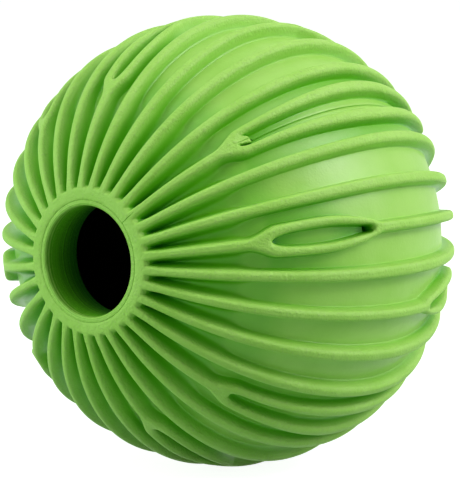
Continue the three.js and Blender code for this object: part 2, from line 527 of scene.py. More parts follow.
    def slot_floor(self, rib: int, near: np.ndarray) -> np.ndarray:
        """Gives how deep a slot's floor lies, with the pocket at the far end of an almond slot.

        Args:
            rib: The rib's number.
            near: Polar angles from the pole that the slot starts at, one for each row.

        Returns:
            Depths in metres, one for each row.
        """
        is_short = self.pattern.kind(rib).is_short
        start = self.pattern.slot_start
        ramp_start, ramp_end = self.short_slot_ramp if is_short else self.long_slot_ramp
        floor = self.rib_height * ease(start + ramp_start, start + ramp_end, near)
        if is_short:
            past = (near - self.pocket_start) * self.pattern.tip_radius
            floor = floor + np.clip(past * self.pocket_slope, 0, self.pocket_depth)
        return np.maximum(floor, self.least_floor)

    def slot_depth(self, rib: int, side: int, polar: np.ndarray, offset: np.ndarray) -> np.ndarray:
        """Gives the depth of the slot in a split rib, with its pocket or its tongue.

        Args:
            rib: The rib's number.
            side: 1 for the side of rising longitude, -1 for the other.
            polar: Polar angles, one for each row.
            offset: Distance from the rib's centre line, in metres, rows by columns.

        Returns:
            Depths in metres, rows by columns.
        """
        pattern = self.pattern
        step = self.slope_step

        def square(at: np.ndarray) -> np.ndarray:
            """Gives the squared half width in square metres."""
            return pattern.slot_square(rib, at) * pattern.across(at) ** 2

        here = square(polar)
        turn = (square(polar + step) - square(polar - step)) / (2 * step * pattern.tip_radius)
        steepness = 2 * np.hypot(offset, turn[:, None] / 2)
        inside = (here[:, None] - offset**2) / np.maximum(steepness, self.least_steepness)
        start, _ = self.groove(rib, 1, polar)
        leg = np.maximum(start - np.sqrt(np.maximum(here, 0)), self.least_leg)
        edge = np.minimum(self.leg_edge_share * leg, self.edge(polar))
        near = pattern.from_slot_pole(rib, polar)
        wall = self.wall(inside, edge[:, None], self.slope_at_equator)
        depth = soft_min(self.slot_floor(rib, near)[:, None], wall, self.foot_at_equator)
        if rib % pattern.count in pattern.parting_ribs:
            upwards = 1 if rib % pattern.count == pattern.parting_ribs[1] else -1
            depth = soft_min(depth, self.tongue(near, side * upwards * offset), self.tongue_rounding)
        return np.maximum(depth, 0)

    def tongue(self, near: np.ndarray, height: np.ndarray) -> np.ndarray:
        """Gives the depth of the small tongue that fills the upper part of a slot's start.

        Args:
            near: Polar angles from the pole that the slot starts at, one for each row.
            height: Distance above the rib's centre line, in metres, rows by columns.

        Returns:
            Depths in metres, rows by columns.
        """
        way = np.clip((near - self.tongue_start) / (self.tongue_end - self.tongue_start), 0, 1)
        corner = self.tongue_rounding
        bottom = corner - mix(self.tongue_edge_at_start, self.tongue_edge_at_end, way)[:, None]
        top = mix(self.tongue_top_at_start, self.tongue_top_at_end, way)[:, None] - corner
        past = (near - self.tongue_end)[:, None] * self.pattern.tip_radius + corner
        sideways = np.maximum(np.maximum(bottom - height, height - top), 0)
        beyond = np.maximum(np.hypot(np.maximum(past, 0), sideways) - corner, 0)
        own = mix(self.tongue_depth_at_start, self.tongue_depth_at_end, way)[:, None]
        return own + beyond * self.slope_at_equator

    def seam_depth(self, rib: int, polar: np.ndarray, offset: np.ndarray) -> np.ndarray:
        """Gives the notch of the parting line, which is deeper in the slots.

        Args:
            rib: The rib's number.
            polar: Polar angles, one for each row.
            offset: Distance from the rib's centre line, in metres, rows by columns.

        Returns:
            Depths in metres, rows by columns.
        """
        first, second = self.pattern.parting_ribs
        if rib % self.pattern.count not in (first, second):
            return np.zeros_like(offset)
        in_slot = self.pattern.slot_square(rib, polar) > 0
        on_face = ease(self.face_seam_end, self.collar_polar, polar)
        deeper = self.seam_depth_on_face if rib % self.pattern.count == second else self.seam_depth_on_crest
        on_crest = mix(self.seam_depth_on_crest, deeper, on_face)
        deepest = np.where(in_slot, self.seam_depth_in_slot, on_crest)
        return deepest[:, None] * np.clip(1 - offset / self.seam_half_width, 0, 1)

    def depth(self, rib: int, side: int, polar: np.ndarray, offset: np.ndarray) -> np.ndarray:
        """Gives the depth from a rib's centre line to the middle of the groove beside it.

        Args:
            rib: The rib's number.
            side: 1 for the side of rising longitude, -1 for the other.
            polar: Polar angles, one for each row.
            offset: Distance from the rib's centre line, in metres, rows by columns.

        Returns:
            Depths in metres, rows by columns.
        """
        depth = self.groove_depth(rib, side, polar, offset)
        if self.pattern.kind(rib) is not RibKind.WHOLE:
            depth = np.maximum(depth, self.slot_depth(rib, side, polar, offset))
        return depth + self.seam_depth(rib, polar, offset)


@dataclass(frozen=True)
class RibColumns:
    """Places the mesh's columns where the relief bends."""

    relief: BallRelief

    # Columns over the rounded edge, down the flank and along the foot.
    rounding_shares: tuple = (1.0, 0.72, 0.45, 0.2, 0.04)
    flank_shares: tuple = (0.35, 0.7, 1.0)
    foot_steps: tuple = (0.05 * MM, 0.16 * MM, 0.4 * MM)
    flank_reach: float = 1.15
    groove_margin: float = 0.1 * MM
    widest_edge_share: float = 0.9

    # Columns over a slot's floor, up its wall and over the leg beside it.
    leg_columns: int = 8
    slot_floor_shares: tuple = (0.0, 0.3, 0.6, 0.85, 1.0)
    slot_wall_shares: tuple = (0.75, 0.5, 0.25, 0.08)
    slot_wall_run: float = 0.4 * MM
    closed_slot_share: float = 0.28
    widest_wall_share: float = 0.45

    def outside(self, start: np.ndarray, middle: np.ndarray) -> list[np.ndarray]:
        """Places the columns from a rib's outer edge to the middle of its groove.

        Args:
            start: Where the groove starts, in metres from the rib's centre line, one for each row.
            middle: Where the groove's middle is, in the same way.

        Returns:
            Distances from the centre line, in metres, column by column.
        """
        run = self.relief.flank_run * self.flank_reach
        steps = [share * run for share in self.flank_shares] + [run + step for step in self.foot_steps]
        fit = np.minimum(1, (middle - start) / (steps[-1] + self.groove_margin))
        columns = [start + step * fit for step in steps]
        last = columns[-1]
        return columns + [(last + middle) / 2, middle]

    def whole(self, rib: int, side: int, polar: np.ndarray) -> np.ndarray:
        """Places the columns of one half of a whole rib.

        Args:
            rib: The rib's number.
            side: 1 for the side of rising longitude, -1 for the other.
            polar: Polar angles, one for each row.

        Returns:
            Distances from the rib's centre line, in metres, rows by columns.
        """
        start, middle = self.relief.groove(rib, side, polar)
        edge = np.minimum(self.relief.edge(polar), self.widest_edge_share * start)
        crest = [0 * start, (start - edge) / 2]
        rounding = [start - edge * share for share in self.rounding_shares]
        return np.stack(crest + rounding + self.outside(start, middle), axis=1)

    def split(self, rib: int, side: int, polar: np.ndarray) -> np.ndarray:
        """Places the columns of one half of a split rib, which keep their order where the slot is shut.

        Args:
            rib: The rib's number.
            side: 1 for the side of rising longitude, -1 for the other.
            polar: Polar angles, one for each row.

        Returns:
            Distances from the rib's centre line, in metres, rows by columns.
        """
        relief = self.relief
        start, middle = relief.groove(rib, side, polar)
        slot = np.maximum(relief.slot_half(rib, polar), self.closed_slot_share * start)
        wall = np.minimum(self.slot_wall_run, self.widest_wall_share * slot)
        seam = 0.0
        columns = []
        if rib % relief.pattern.count in relief.pattern.parting_ribs:
            seam = relief.seam_half_width
            columns = [0 * start, start * 0 + seam / 2]
        columns += [seam + (slot - wall - seam) * share for share in self.slot_floor_shares]
        columns += [slot - wall * share for share in self.slot_wall_shares]
        for column in range(self.leg_columns + 1):
            share = (1 - math.cos(math.pi * column / self.leg_columns)) / 2
            columns.append(slot + (start - slot) * share)
        return np.stack(columns + self.outside(start, middle), axis=1)

    def half_rib(self, rib: int, side: int, polar: np.ndarray) -> tuple[np.ndarray, np.ndarray]:
        """Gives one half of a rib as columns of longitude and depth, from its centre line outwards.

        Args:
            rib: The rib's number.
            side: 1 for the side of rising longitude, -1 for the other.
            polar: Polar angles, one for each row.

        Returns:
            Longitudes and depths, rows by columns.
        """
        pattern = self.relief.pattern
        is_whole = pattern.kind(rib) is RibKind.WHOLE
        offset = self.whole(rib, side, polar) if is_whole else self.split(rib, side, polar)
        centre = pattern.first_longitude + rib * pattern.pitch + pattern.sway(rib, polar)
        longitude = centre[:, None] + side * offset / pattern.across(polar)[:, None]
        return longitude, self.relief.depth(rib, side, polar, offset)

    def between(self, first: int, last: int, polar: np.ndarray) -> tuple[np.ndarray, np.ndarray]:
        """Gives all columns from the centre line of one rib to that of a later one.

        Args:
            first: Number of the first rib.
            last: Number of the last rib.
            polar: Polar angles, one for each row.

        Returns:
            Longitudes and depths, rows by columns.
        """
        longitudes, depths = [], []
        for rib in range(first, last + 1):
            if rib > first:
                longitude, depth = self.half_rib(rib, -1, polar)
                longitudes.append(longitude[:, -2::-1])
                depths.append(depth[:, -2::-1])
            if rib < last:
                longitude, depth = self.half_rib(rib, 1, polar)
                skip = 0 if rib == first else 1
                longitudes.append(longitude[:, skip:])
                depths.append(depth[:, skip:])
        return np.hstack(longitudes), np.hstack(depths)


@dataclass
class MeshDraft:
    """A mesh that is put together from grids, strips and fans.

    Each point has a share of how open it lies, which sets the shade painted into its colour, and each face a
    material slot and its corners' map places.
    """

    points: list = field(default_factory=list)
    open_shares: list = field(default_factory=list)
    faces: list = field(default_factory=list)
    corners: list = field(default_factory=list)
    slots: list = field(default_factory=list)

    def add_points(self, points: np.ndarray, open_shares: object = 1.0) -> np.ndarray:
        """Adds points.

        Args:
            points: Places of the points.
            open_shares: How open each point lies, from 0 to 1, or one number for all.

        Returns:
            The points' numbers, in the shape that the points came in.
        """
        flat = points.reshape(-1, 3)
        start = len(self.points)
        self.points.extend(flat.tolist())
        self.open_shares.append(np.broadcast_to(open_shares, points.shape[:-1]).ravel())
        return np.arange(start, start + len(flat)).reshape(points.shape[:-1])

    def add_grid(self, numbers: np.ndarray, uv: np.ndarray, slot: int, flip: bool = False) -> None:
        """Adds the quads of a grid.

        Args:
            numbers: Numbers of the points, rows by columns.
            uv: Map places of the points, rows by columns by 2.
            slot: Material slot of the faces.
            flip: True where the faces point the other way.
        """
        order = [(0, 0), (1, 0), (1, 1), (0, 1)]
        if flip:
            order.reverse()
        height, width = numbers.shape
        picks = [(slice(row, height - 1 + row), slice(column, width - 1 + column)) for row, column in order]
        quads = np.stack([numbers[pick] for pick in picks], axis=-1).reshape(-1, 4)
        places = np.stack([uv[pick] for pick in picks], axis=-2).reshape(-1, 4, 2)
        self.faces.extend(quads.tolist())
        self.corners.append(places.reshape(-1, 2))
        self.slots.extend([slot] * len(quads))

    def add_strip(self, one: list[int], other: list[int], patch: tuple, slot: int) -> None:
        """Joins two rows of points of unequal number by triangles.

        Args:
            one: Numbers of the points of the first row.
            other: Numbers of the points of the second row, which runs the same way.
            patch: Lowest u and v of the strip on the map, then highest u and v.
            slot: Material slot of the faces.
        """
        low_u, low_v, high_u, high_v = patch
        shares = [np.linspace(0, 1, len(one)), np.linspace(0, 1, len(other))]
        places = np.array(self.points)
        for row, numbers in enumerate((one, other)):
            steps = np.linalg.norm(np.diff(places[numbers], axis=0), axis=1)
            shares[row] = np.concatenate([[0], np.cumsum(steps)]) / steps.sum()
        triangles, uvs = [], []
        at_one, at_other = 0, 0

        def place(row: int, index: int) -> tuple[float, float]:
            """Gives the map place of a point of either row."""
            return (mix(low_u, high_u, shares[row][index]), high_v if row else low_v)

        while at_one + 1 < len(one) or at_other + 1 < len(other):
            one_is_done, other_is_done = at_one + 1 == len(one), at_other + 1 == len(other)
            if other_is_done or (not one_is_done and shares[0][at_one + 1] <= shares[1][at_other + 1]):
                triangles.append([one[at_one], one[at_one + 1], other[at_other]])
                uvs += [place(0, at_one), place(0, at_one + 1), place(1, at_other)]
                at_one += 1
            else:
                triangles.append([one[at_one], other[at_other + 1], other[at_other]])
                uvs += [place(0, at_one), place(1, at_other + 1), place(1, at_other)]
                at_other += 1
        self.faces.extend(triangles)
        self.corners.append(np.array(uvs))
        self.slots.extend([slot] * len(triangles))

    def add_fan(
        self, row: np.ndarray, centre: int, uv: np.ndarray, uv_centre: tuple, slot: int, flip: bool = False
    ) -> None:
        """Closes a row of points on one point by triangles.

        Args:
            row: Numbers of the points of the row.
            centre: Number of the point that they meet in.
            uv: Map places of the row.
            uv_centre: Map place of the centre.
            slot: Material slot of the faces.
            flip: True where the faces point the other way.
        """
        uvs = []
        for step in range(len(row) - 1):
            ends = (step + 1, step) if flip else (step, step + 1)
            self.faces.append([int(row[ends[0]]), centre, int(row[ends[1]])])
            uvs += [uv[ends[0]], uv_centre, uv[ends[1]]]
            self.slots.append(slot)
        self.corners.append(np.array(uvs))

    def to_object(self, name: str, sharp_angle: float) -> bpy.types.Object:
        """Makes a smooth-shaded object whose creases past an angle stay sharp.

        Args:
            name: The object's name.
            sharp_angle: Least angle between two faces that keeps their edge sharp.

        Returns:
            The object, linked into the scene.
        """
        mesh = bpy.data.meshes.new(name)
        mesh.from_pydata(self.points, [], self.faces)
        mesh.uv_layers.new(name=BAKE_MAP).data.foreach_set("uv", np.concatenate(self.corners).ravel())
        mesh.polygons.foreach_set("material_index", self.slots)
        # Openness, by which the materials paint shade into the rubber's colour.
        shares = mesh.attributes.new(OPENNESS, "FLOAT", "POINT")
        shares.data.foreach_set("value", np.concatenate(self.open_shares))
        mesh.shade_smooth()
        mesh.set_sharp_from_angle(angle=sharp_angle)
        mesh.update()
        piece = bpy.data.objects.new(name, mesh)
        bpy.context.scene.collection.objects.link(piece)
        return piece


def round_points(radius: np.ndarray, longitude: np.ndarray, y: np.ndarray) -> np.ndarray:
    """Places points round the mouth's axis.

    Args:
        radius: Distances from the axis, in metres.
        longitude: Longitudes, 0 at the top and rising towards -X.
        y: Places along the axis, in metres.

    Returns:
        Points, with one more axis of length 3.
    """
    radius, longitude, y = np.broadcast_arrays(radius, longitude, y)
    return np.stack([-radius * np.sin(longitude), y, radius * np.cos(longitude)], axis=-1)


def ball_points(polar: np.ndarray, longitude: np.ndarray, radius: np.ndarray) -> np.ndarray:
    """Places points by their angle off the mouth's axis, their longitude and their distance from the centre.

    Args:
        polar: Polar angles.
        longitude: Longitudes, 0 at the top and rising towards -X.
        radius: Distances from the centre, in metres.

    Returns:
        Points, with one more axis of length 3.
    """
    return round_points(radius * np.sin(polar), longitude, -radius * np.cos(polar))


def graded(*stops: tuple[float, float]) -> np.ndarray:
    """Makes angles that run through stops, each with the step to use up to it, in degrees.

    Args:
        *stops: Pairs of a stop and the greatest step before it. The first pair's step is unused.

    Returns:
        The angles in radians, both ends included.
    """
    angles = [stops[0][0]]
    for (start, _), (end, step) in zip(stops, stops[1:]):
        count = max(1, math.ceil((end - start) / step - STEP_SLACK))
        angles.extend(np.linspace(start, end, count + 1)[1:])
    return np.array(angles) * DEGREE


def shares_by_length(points: np.ndarray) -> np.ndarray:
    """Gives the share of the way along a grid's rows at which each column lies.

    Args:
        points: Points, rows by columns by 3.

    Returns:
        Shares from 0 to 1, one for each column, from the average over the rows.
    """
    steps = np.linalg.norm(np.diff(points, axis=1), axis=2).mean(axis=0)
    way = np.concatenate([[0], np.cumsum(steps)])
    return way / way[-1]


def map_places(across: np.ndarray, along: np.ndarray, patch: tuple) -> np.ndarray:
    """Lays a grid out on a rectangle of the map.

    Args:
        across: Share of the way for each column.
        along: Share of the way for each row.
        patch: Lowest u and v, then highest u and v.

    Returns:
        Map places, rows by columns by 2.
    """
    low_u, low_v, high_u, high_v = patch
    u, v = np.meshgrid(mix(low_u, high_u, across), mix(low_v, high_v, along))
    return np.stack([u, v], axis=-1)


class Side(Enum):
    """Which side of the parting plane a half shell lies on."""

    UPPER = "upper"
    LOWER = "lower"


class MouldedPiece:
    """What the pieces share: each stands for a CAD node and carries the name of a material slot of the
    record.
    """

    # Material slot of the rubber that is seen from outside.
    OUTSIDE = 0

    SLOT: str
    name: str
    node: str

    def dress(self, piece: bpy.types.Object, materials: list[bpy.types.Material]) -> None:
        """Gives the built piece its materials and its place in the model.

        Args:
            piece: The piece's object.
            materials: One material for each of the mesh's slots.
        """
        for material in materials:
            piece.data.materials.append(material)
        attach(piece, BODY)
        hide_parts(self.node)
        log.info("%s: %d faces, stands for %s", self.name, len(piece.data.polygons), self.node)


@dataclass
class HalfShell(MouldedPiece):
    """One moulded half of the ball, with the ribs outside and half the hollow inside."""

    SLOT = "shell_rubber"

    # Material slot of the hollow, whose rubber is painted near black as shade.
    HOLLOW = 1

    # Places of the patches on the map: lowest u and v, then highest, and the tip of each fan.
    OUTER_MAP = (0, 0, 1, 0.66)
    OUTER_MAP_TIP = (0.5, 0.675)
    CAVITY_MAP = (0, 0.7, 0.28, 0.98)
    CAVITY_MAP_TIP = (0.14, 0.99)
    NECK_MAP = (0.32, 0.74, 0.98, 0.8)
    PARTING_MAP = (0.32, 0.84, 0.98, 0.92)

    # Polar angles in degrees where the relief bends, each with the greatest step between rows up to it.
    ROW_STOPS = (
        (17.2, 0.6),
        (21.5, 0.4),
        (24, 1.2),
        (40, 2.2),
        (49, 0.9),
        (54.2, 0.4),
        (60, 1.2),
        (72.5, 2.1),
        (75, 0.7),
        (80.9, 0.4),
        (90, 2.3),
    )

    side: Side
    sizes: BallSizes
    pattern: RibPattern
    relief: BallRelief
    neck_clearance: float = 0.1 * MM
    neck_edge: float = 0.12 * MM
    neck_step_degrees: float = 0.12
    least_row_gap: float = 0.1 * DEGREE
    face_rounding: float = 0.3 * MM
    face_reach: float = 60 * DEGREE
    pad_rings: tuple = (0.985, 0.7, 0.35)
    open_reach: int = 40

    # Painted shade on the groove floors, darker near the poles where the ribs crowd: how open a floor counts
    # at most, the two shares, their polar angles, and depths of a floor.
    floor_shade_limits: tuple = (0.21, 0.45)
    limit_polar: tuple = (47 * DEGREE, 70 * DEGREE)
    floor_depth: tuple = (1.1 * MM, 1.9 * MM)

    cavity_rows: int = 26
    cavity_columns: int = 48
    sharp_angle: float = 62 * DEGREE

    @property
    def name(self) -> str:
        """The piece's name, which says what it is."""
        return f"ribbed_{self.side.value}_half"

    @property
    def node(self) -> str:
        """The CAD node that the piece stands for."""
        return f"{self.side.value}_half_shell"

    @property
    def ribs(self) -> tuple[int, int]:
        """The parting ribs that the half runs between, counted on past a full turn for the upper half."""
        first, second = self.pattern.parting_ribs
        if self.side is Side.LOWER:
            return first, second
        return second, first + self.pattern.count

    @property
    def neck_radius(self) -> float:
        """Radius of the neck that the sleeve sits in."""
        return self.sizes.sleeve_radius + self.neck_clearance

    def rows(self) -> np.ndarray:
        """Places the rows from the neck to the edge of the back pad, closest where the relief bends.

        Returns:
            Polar angles, which run alike on both sides of the equator.
        """
        neck = math.asin(self.neck_radius / self.sizes.tip_radius) / DEGREE
        front = graded((neck + self.neck_step_degrees, 0), *self.ROW_STOPS)
        back_edge = math.pi - math.acos(self.sizes.back_y / self.sizes.tip_radius)
        back = (math.pi - front)[-2::-1]
        back = back[back < back_edge - self.least_row_gap]
        return np.concatenate([[neck * DEGREE], front, back, [back_edge]])

    def outer_open_shares(self) -> np.ndarray:
        """Gives how open each point of the ribbed face lies, for the shade painted into its colour, with the
        ribs of the other half in mind.

        Returns:
            Shares from 0 to 1, rows by columns. Groove floors stay low, so painted darker, where the ribs
            crowd near the poles.
        """
        polar = self.rows()
        columns = RibColumns(self.relief)
        first, last = self.ribs
        longitude, depth = columns.between(first - 1, last + 1, polar)
        shares = open_share(longitude * self.pattern.across(polar)[:, None], depth, self.open_reach)
        limit = mix(*self.floor_shade_limits, ease(*self.limit_polar, np.minimum(polar, math.pi - polar)))
        shares = np.minimum(shares, mix(1, limit[:, None], ease(*self.floor_depth, depth)))
        before = columns.between(first - 1, first, polar)[0].shape[1] - 1
        after = columns.between(last, last + 1, polar)[0].shape[1] - 1
        shares = shares[:, before : shares.shape[1] - after]
        return np.concatenate([shares, np.ones((len(self.pad_rings), shares.shape[1]))])

    def outer_points(self) -> np.ndarray:
        """Makes the ribbed face from the neck to the last ring of the back pad.

        Returns:
            Points, rows by columns by 3.
        """
        polar = self.rows()
        longitude, depth = RibColumns(self.relief).between(*self.ribs, polar)
        depth[0] += self.neck_edge
        flat_face = self.sizes.rim_y / -np.cos(np.minimum(polar, self.face_reach))
        crest = soft_min(self.sizes.tip_radius, flat_face, self.face_rounding)
        points = ball_points(polar[:, None], longitude, crest[:, None] - depth)
        ring_radius = np.array(self.pad_rings) * (self.sizes.tip_radius * math.sin(polar[-1]))
        pad = round_points(ring_radius[:, None], longitude[-1], self.sizes.back_y)
        return np.concatenate([points, pad])

    def cavity_points(self) -> np.ndarray:
        """Makes the smooth hollow inside, from the neck towards the back.

        Returns:
            Points, rows by columns by 3.
        """
        first, last = self.ribs
        start = self.pattern.first_longitude + first * self.pattern.pitch
        end = self.pattern.first_longitude + last * self.pattern.pitch
        neck = math.asin(self.neck_radius / self.sizes.cavity_radius)
        polar = np.linspace(neck, math.pi, self.cavity_rows + 1)[:-1]
        longitude = np.linspace(start, end, self.cavity_columns + 1)
        return ball_points(polar[:, None], longitude[None], self.sizes.cavity_radius)

    def build(self) -> bpy.types.Object:
        """Builds the half as one closed mesh.

        Returns:
            The half shell, with material slot 0 for the rubber outside and 1 for the hollow inside.
        """
        draft = MeshDraft()
        outer, cavity = self.outer_points(), self.cavity_points()
        outside = draft.add_points(outer, self.outer_open_shares())
        # The hollow counts as shut, so it takes the darkest painted shade.
        inside = draft.add_points(cavity, 0.0)
        poles = np.array([[0.0, self.sizes.back_y, 0.0], [0.0, self.sizes.cavity_radius, 0.0]])
        outer_pole, cavity_pole = draft.add_points(poles, np.array([1.0, 0.0])).tolist()

        across, along = shares_by_length(outer), shares_by_length(outer.transpose(1, 0, 2))
        outer_uv = map_places(across, along, self.OUTER_MAP)
        draft.add_grid(outside, outer_uv, self.OUTSIDE)
        draft.add_fan(outside[-1], outer_pole, outer_uv[-1], self.OUTER_MAP_TIP, self.OUTSIDE)

        across, along = np.linspace(0, 1, cavity.shape[1]), np.linspace(0, 1, cavity.shape[0])
        cavity_uv = map_places(across, along, self.CAVITY_MAP)
        draft.add_grid(inside, cavity_uv, self.HOLLOW, flip=True)
        draft.add_fan(inside[-1], cavity_pole, cavity_uv[-1], self.CAVITY_MAP_TIP, self.HOLLOW, flip=True)

        draft.add_strip(outside[0].tolist(), inside[0].tolist(), self.NECK_MAP, self.OUTSIDE)
        outer_edge = outside[:, 0].tolist() + [outer_pole] + outside[::-1, -1].tolist()
        inner_edge = inside[:, 0].tolist() + [cavity_pole] + inside[::-1, -1].tolist()
        draft.add_strip(inner_edge, outer_edge, self.PARTING_MAP, self.OUTSIDE)

        piece = draft.to_object(self.name, self.sharp_angle)
        middle = self.pattern.first_longitude + sum(self.ribs) / 2 * self.pattern.pitch
        away = Vector((-math.sin(middle), 0, math.cos(middle))) * (SEAM_GAP / 2)
        for vertex in piece.data.vertices:
            vertex.co += away
        return piece


@dataclass
class MouthSleeve(MouldedPiece):
    """The ring that lines the mouth, with a soft lip outside."""

    SLOT = "sleeve_rubber"
    WHOLE_MAP = (0, 0, 1, 1)

    sizes: BallSizes
    name: str = "lipped_mouth_sleeve"
    node: str = "mouth_sleeve"
    bore_radius: float = 9.45 * MM
    outer_clearance: float = 0.05 * MM
    lip_radius: float = 0.45 * MM
    outer_edge: float = 0.12 * MM
    inner_edge: float = 0.4 * MM
    columns: int = 160
    wall_steps: int = 4
    edge_steps: int = 3
    lip_steps: int = 10
    bore_steps: int = 16
    inner_steps: int = 4
    sharp_angle: float = 50 * DEGREE

    def profile(self) -> list[tuple[float, float]]:
        """Draws the section from the inner end, up the outer wall, over the lip and down the bore.

        Returns:
            Pairs of radius and Y, in metres.
        """
        outer = self.sizes.sleeve_radius - self.outer_clearance
        rim, end = self.sizes.rim_y, self.sizes.sleeve_inner_y
        bore, lip, edge = self.bore_radius, self.lip_radius, self.outer_edge
        points = [(outer, mix(end, rim, step / self.wall_steps)) for step in range(self.wall_steps)]
        points += self.arc((outer - edge, rim + edge), edge, 0, self.edge_steps)
        points += self.arc((bore + lip, rim + lip), lip, 1, self.lip_steps)
        start, stop = rim + lip, end - self.inner_edge
        points += [(bore, mix(start, stop, step / self.bore_steps)) for step in range(1, self.bore_steps)]
        points += self.arc((bore + self.inner_edge, stop), self.inner_edge, 2, self.inner_steps)
        return points

    @staticmethod
    def arc(centre: tuple, size: float, quarter: int, steps: int) -> list[tuple[float, float]]:
        """Draws a quarter circle of the section.

        Args:
            centre: Radius and Y of the arc's centre.
            size: Radius of the arc itself.
            quarter: Quarter turns to its start, counted from outwards towards the mouth.
            steps: Number of its straight steps.

        Returns:
            Pairs of radius and Y, in metres.
        """
        radius, y = centre
        angles = np.linspace(quarter * math.pi / 2, (quarter + 1) * math.pi / 2, steps + 1)
        return [(radius + size * math.cos(angle), y - size * math.sin(angle)) for angle in angles]

    def open_shares(self, section: np.ndarray) -> np.ndarray:
        """Gives how open each point of the section lies, from 1 at the lip to less down the bore, which sets
        the shade painted into the bore.

        Args:
            section: Radius and Y of each point, in metres.

        Returns:
            Shares from 0 to 1, one row for each point.
        """
        in_bore = section[:, :1] < self.bore_radius + self.lip_radius
        depth = np.where(in_bore, section[:, 1:] - self.sizes.rim_y, 0) / (2 * self.bore_radius)
        # What a tube's wall sees through the tube's end, doubled so that the lip counts as open.
        return 2 * ((depth**2 + 0.5) / np.sqrt(depth**2 + 1) - depth)

    def build(self) -> bpy.types.Object:
        """Builds the sleeve as one closed ring.

        Returns:
            The sleeve, with one material slot.
        """
        profile = self.profile()
        section = np.array(profile + profile[:1])
        radius, y = section[:, :1], section[:, 1:]
        turns = np.linspace(0, 2 * math.pi, self.columns + 1)
        ring = round_points(radius, turns, y)
        draft = MeshDraft()
        numbers = draft.add_points(ring[:-1, :-1], self.open_shares(section[:-1]))
        closed = np.vstack([numbers, numbers[:1]])
        closed = np.hstack([closed, closed[:, :1]])
        across = np.linspace(0, 1, closed.shape[1])
        along = shares_by_length(ring.transpose(1, 0, 2))
        draft.add_grid(closed, map_places(across, along, self.WHOLE_MAP), self.OUTSIDE)
        return draft.to_object(self.name, self.sharp_angle)


